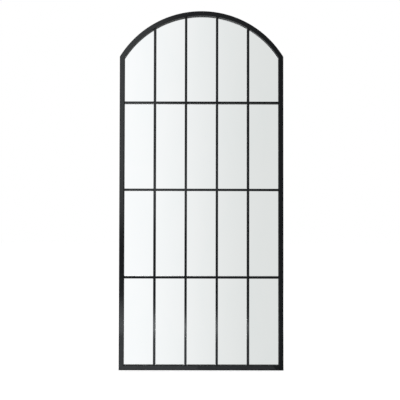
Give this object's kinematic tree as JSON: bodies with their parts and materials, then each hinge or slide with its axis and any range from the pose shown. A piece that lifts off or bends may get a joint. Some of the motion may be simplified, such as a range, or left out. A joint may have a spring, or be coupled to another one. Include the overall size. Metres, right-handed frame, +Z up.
{
  "type": "arched window mirror",
  "caption": "Full-length mirror with a segmental arch head, in a black welded steel tube frame with window-style glazing bars, and a backing board, turn buttons and D-ring hangers behind.",
  "frame": {"origin": "bottom centre of the overall box: on the centre line, at the underside of the bottom rail, half way between the front of the frame and the wall", "axes": "+X to the right of someone facing the mirror, -Y out of the front, +Y towards the wall, +Z up"},
  "size_m": [0.822, 0.034, 1.8],
  "materials": {
    "black_powder_coat": "satin black powder coat on welded steel tube",
    "silvered_glass": "clear float glass, silvered behind",
    "fibreboard": "raw medium density fibreboard",
    "zinc_plate": "bright zinc plate on steel",
    "bumper_rubber": "matt black moulded rubber"
  },
  "bodies": {
    "mirror_frame": {"left_stile": "black_powder_coat", "right_stile": "black_powder_coat", "bottom_rail": "black_powder_coat", "arch_head": "black_powder_coat", "upright_bar_1": "black_powder_coat", "upright_bar_2": "black_powder_coat", "upright_bar_3": "black_powder_coat", "upright_bar_4": "black_powder_coat", "cross_bar_row1_1": "black_powder_coat", "cross_bar_row1_2": "black_powder_coat", "cross_bar_row1_3": "black_powder_coat", "cross_bar_row1_4": "black_powder_coat", "cross_bar_row1_5": "black_powder_coat", "cross_bar_row2_1": "black_powder_coat", "cross_bar_row2_2": "black_powder_coat", "cross_bar_row2_3": "black_powder_coat", "cross_bar_row2_4": "black_powder_coat", "cross_bar_row2_5": "black_powder_coat", "cross_bar_row3_1": "black_powder_coat", "cross_bar_row3_2": "black_powder_coat", "cross_bar_row3_3": "black_powder_coat", "cross_bar_row3_4": "black_powder_coat", "cross_bar_row3_5": "black_powder_coat", "mirror_glass": "silvered_glass", "backing_board": "fibreboard", "pivot_screw_left_lower": "zinc_plate", "pivot_screw_left_middle": "zinc_plate", "pivot_screw_left_upper": "zinc_plate", "pivot_screw_bottom_left": "zinc_plate", "pivot_screw_arch_left": "zinc_plate", "pivot_screw_right_lower": "zinc_plate", "pivot_screw_right_middle": "zinc_plate", "pivot_screw_right_upper": "zinc_plate", "pivot_screw_bottom_right": "zinc_plate", "pivot_screw_arch_right": "zinc_plate", "hanger_strap_left": "zinc_plate", "strap_screw_left_1": "zinc_plate", "strap_screw_left_2": "zinc_plate", "wall_bumper_left_lower": "bumper_rubber", "wall_bumper_left_upper": "bumper_rubber", "hanger_strap_right": "zinc_plate", "strap_screw_right_1": "zinc_plate", "strap_screw_right_2": "zinc_plate", "wall_bumper_right_lower": "bumper_rubber", "wall_bumper_right_upper": "bumper_rubber"},
    "turn_button_left_lower": {"turn_button_left_lower": "zinc_plate"},
    "turn_button_left_middle": {"turn_button_left_middle": "zinc_plate"},
    "turn_button_left_upper": {"turn_button_left_upper": "zinc_plate"},
    "turn_button_bottom_left": {"turn_button_bottom_left": "zinc_plate"},
    "turn_button_arch_left": {"turn_button_arch_left": "zinc_plate"},
    "turn_button_right_lower": {"turn_button_right_lower": "zinc_plate"},
    "turn_button_right_middle": {"turn_button_right_middle": "zinc_plate"},
    "turn_button_right_upper": {"turn_button_right_upper": "zinc_plate"},
    "turn_button_bottom_right": {"turn_button_bottom_right": "zinc_plate"},
    "turn_button_arch_right": {"turn_button_arch_right": "zinc_plate"},
    "hanger_ring_left": {"hanger_ring_left": "zinc_plate"},
    "hanger_ring_right": {"hanger_ring_right": "zinc_plate"}
  },
  "joints": [
    {"name": "turn_button_left_lower_swivel", "type": "hinge", "parent": "mirror_frame", "child": "turn_button_left_lower", "pos_m": [-0.3995, 0.01205, 0.22], "axis": [0, 1, 0], "range_deg": [-90, 90]},
    {"name": "turn_button_left_middle_swivel", "type": "hinge", "parent": "mirror_frame", "child": "turn_button_left_middle", "pos_m": [-0.3995, 0.01205, 0.77], "axis": [0, 1, 0], "range_deg": [-90, 90]},
    {"name": "turn_button_left_upper_swivel", "type": "hinge", "parent": "mirror_frame", "child": "turn_button_left_upper", "pos_m": [-0.3995, 0.01205, 1.32], "axis": [0, 1, 0], "range_deg": [-90, 90]},
    {"name": "turn_button_bottom_left_swivel", "type": "hinge", "parent": "mirror_frame", "child": "turn_button_bottom_left", "pos_m": [-0.2055, 0.01205, 0.0115], "axis": [0, 1, 0], "range_deg": [-90, 90]},
    {"name": "turn_button_arch_left_swivel", "type": "hinge", "parent": "mirror_frame", "child": "turn_button_arch_left", "pos_m": [-0.22987, 0.01205, 1.72855], "axis": [0, 1, 0], "range_deg": [-90, 90]},
    {"name": "turn_button_right_lower_swivel", "type": "hinge", "parent": "mirror_frame", "child": "turn_button_right_lower", "pos_m": [0.3995, 0.01205, 0.22], "axis": [0, 1, 0], "range_deg": [-90, 90]},
    {"name": "turn_button_right_middle_swivel", "type": "hinge", "parent": "mirror_frame", "child": "turn_button_right_middle", "pos_m": [0.3995, 0.01205, 0.77], "axis": [0, 1, 0], "range_deg": [-90, 90]},
    {"name": "turn_button_right_upper_swivel", "type": "hinge", "parent": "mirror_frame", "child": "turn_button_right_upper", "pos_m": [0.3995, 0.01205, 1.32], "axis": [0, 1, 0], "range_deg": [-90, 90]},
    {"name": "turn_button_bottom_right_swivel", "type": "hinge", "parent": "mirror_frame", "child": "turn_button_bottom_right", "pos_m": [0.2055, 0.01205, 0.0115], "axis": [0, 1, 0], "range_deg": [-90, 90]},
    {"name": "turn_button_arch_right_swivel", "type": "hinge", "parent": "mirror_frame", "child": "turn_button_arch_right", "pos_m": [0.22987, 0.01205, 1.72855], "axis": [0, 1, 0], "range_deg": [-90, 90]},
    {"name": "hanger_ring_left_swing", "type": "hinge", "parent": "mirror_frame", "child": "hanger_ring_left", "pos_m": [-0.3995, 0.01375, 1.47], "axis": [1, 0, 0], "range_deg": [0, 180]},
    {"name": "hanger_ring_right_swing", "type": "hinge", "parent": "mirror_frame", "child": "hanger_ring_right", "pos_m": [0.3995, 0.01375, 1.47], "axis": [1, 0, 0], "range_deg": [0, 180]}
  ]
}
